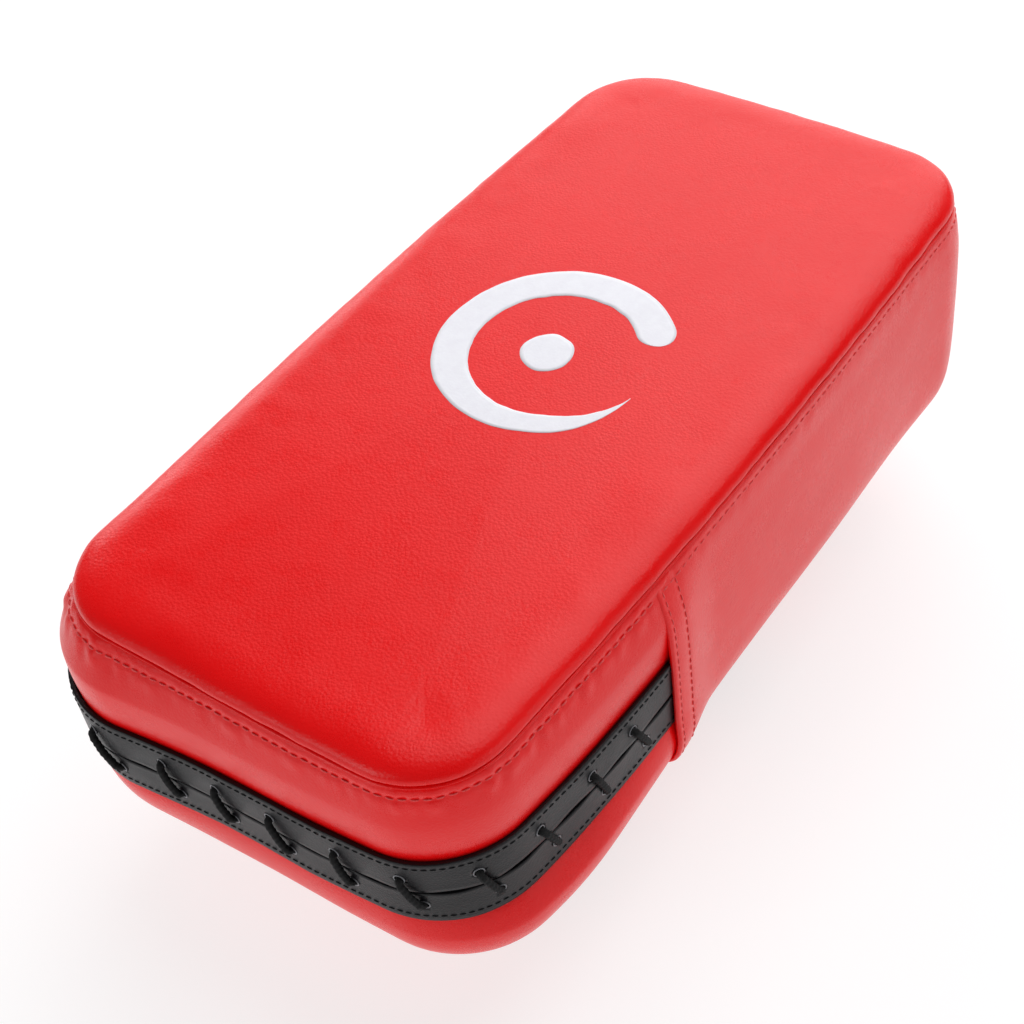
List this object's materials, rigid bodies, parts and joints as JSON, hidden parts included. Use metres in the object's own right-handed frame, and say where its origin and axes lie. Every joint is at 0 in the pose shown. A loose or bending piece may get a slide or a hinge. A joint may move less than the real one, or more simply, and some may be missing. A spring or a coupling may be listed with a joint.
{
  "type": "thai pad",
  "caption": "Laced leather striking pad for kicks and punches, crowned foam body, forearm straps with ring and hook-and-loop closures, and a hand grip on the back.",
  "frame": {"origin": "centre of the bounding box in plan, at the floor that the straps rest on", "axes": "+Z out of the striking face, +Y along the pad from the laced end to the far end, +X across it"},
  "size_m": [0.1992, 0.3861, 0.1657],
  "materials": {
    "red_leather": "grained synthetic leather, semi-gloss",
    "black_leather": "smooth synthetic leather, semi-gloss",
    "white_print": "printed film, satin",
    "cord": "braided round cord",
    "webbing": "woven webbing",
    "closure_tape": "hook-and-loop tape",
    "foam": "closed-cell foam, matt",
    "steel": "nickel-plated steel"
  },
  "bodies": {
    "pad": {"face_panel": "red_leather", "face_welt": "red_leather", "foam_front": "foam", "foam_middle": "foam", "foam_back": "foam", "mark_ring": "white_print", "mark_dot": "white_print", "upper_gusset": "red_leather", "lower_gusset": "red_leather", "side_panel": "red_leather", "back_welt": "red_leather", "back_panel": "red_leather", "upper_lace_strip": "black_leather", "lower_lace_strip": "black_leather", "lace_cord": "cord", "lace_tongue": "black_leather", "near_strap": "black_leather", "near_loop_tape": "closure_tape", "near_ring_tab": "webbing", "near_tab_patch": "black_leather", "near_strap_patch": "black_leather", "far_strap": "black_leather", "far_loop_tape": "closure_tape", "far_ring_tab": "webbing", "far_tab_patch": "black_leather", "far_strap_patch": "black_leather", "grip_webbing": "webbing", "grip_foam": "foam", "grip_cover": "black_leather", "grip_patch_left": "black_leather", "grip_patch_right": "black_leather", "rivet_1": "steel", "rivet_2": "steel", "rivet_3": "steel", "rivet_4": "steel", "rivet_washer_1": "steel", "rivet_washer_2": "steel", "rivet_washer_3": "steel", "rivet_washer_4": "steel"},
    "near_flap": {"near_strap_flap": "black_leather", "near_hook_tape": "closure_tape"},
    "far_flap": {"far_strap_flap": "black_leather", "far_hook_tape": "closure_tape"},
    "near_ring_body": {"near_ring": "steel"},
    "far_ring_body": {"far_ring": "steel"}
  },
  "joints": [
    {"name": "near_flap_peel", "type": "hinge", "parent": "pad", "child": "near_flap", "pos_m": [-0.04842, -0.1007, 0.0147], "axis": [0, 1, 0], "range_deg": [0, 150]},
    {"name": "far_flap_peel", "type": "hinge", "parent": "pad", "child": "far_flap", "pos_m": [-0.04842, 0.0103, 0.0147], "axis": [0, 1, 0], "range_deg": [0, 150]},
    {"name": "near_ring_swing", "type": "hinge", "parent": "pad", "child": "near_ring_body", "pos_m": [-0.054, -0.1007, 0.043], "axis": [0, 1, 0], "range_deg": [-4, 4]},
    {"name": "far_ring_swing", "type": "hinge", "parent": "pad", "child": "far_ring_body", "pos_m": [-0.054, 0.0103, 0.043], "axis": [0, 1, 0], "range_deg": [-4, 4]}
  ]
}
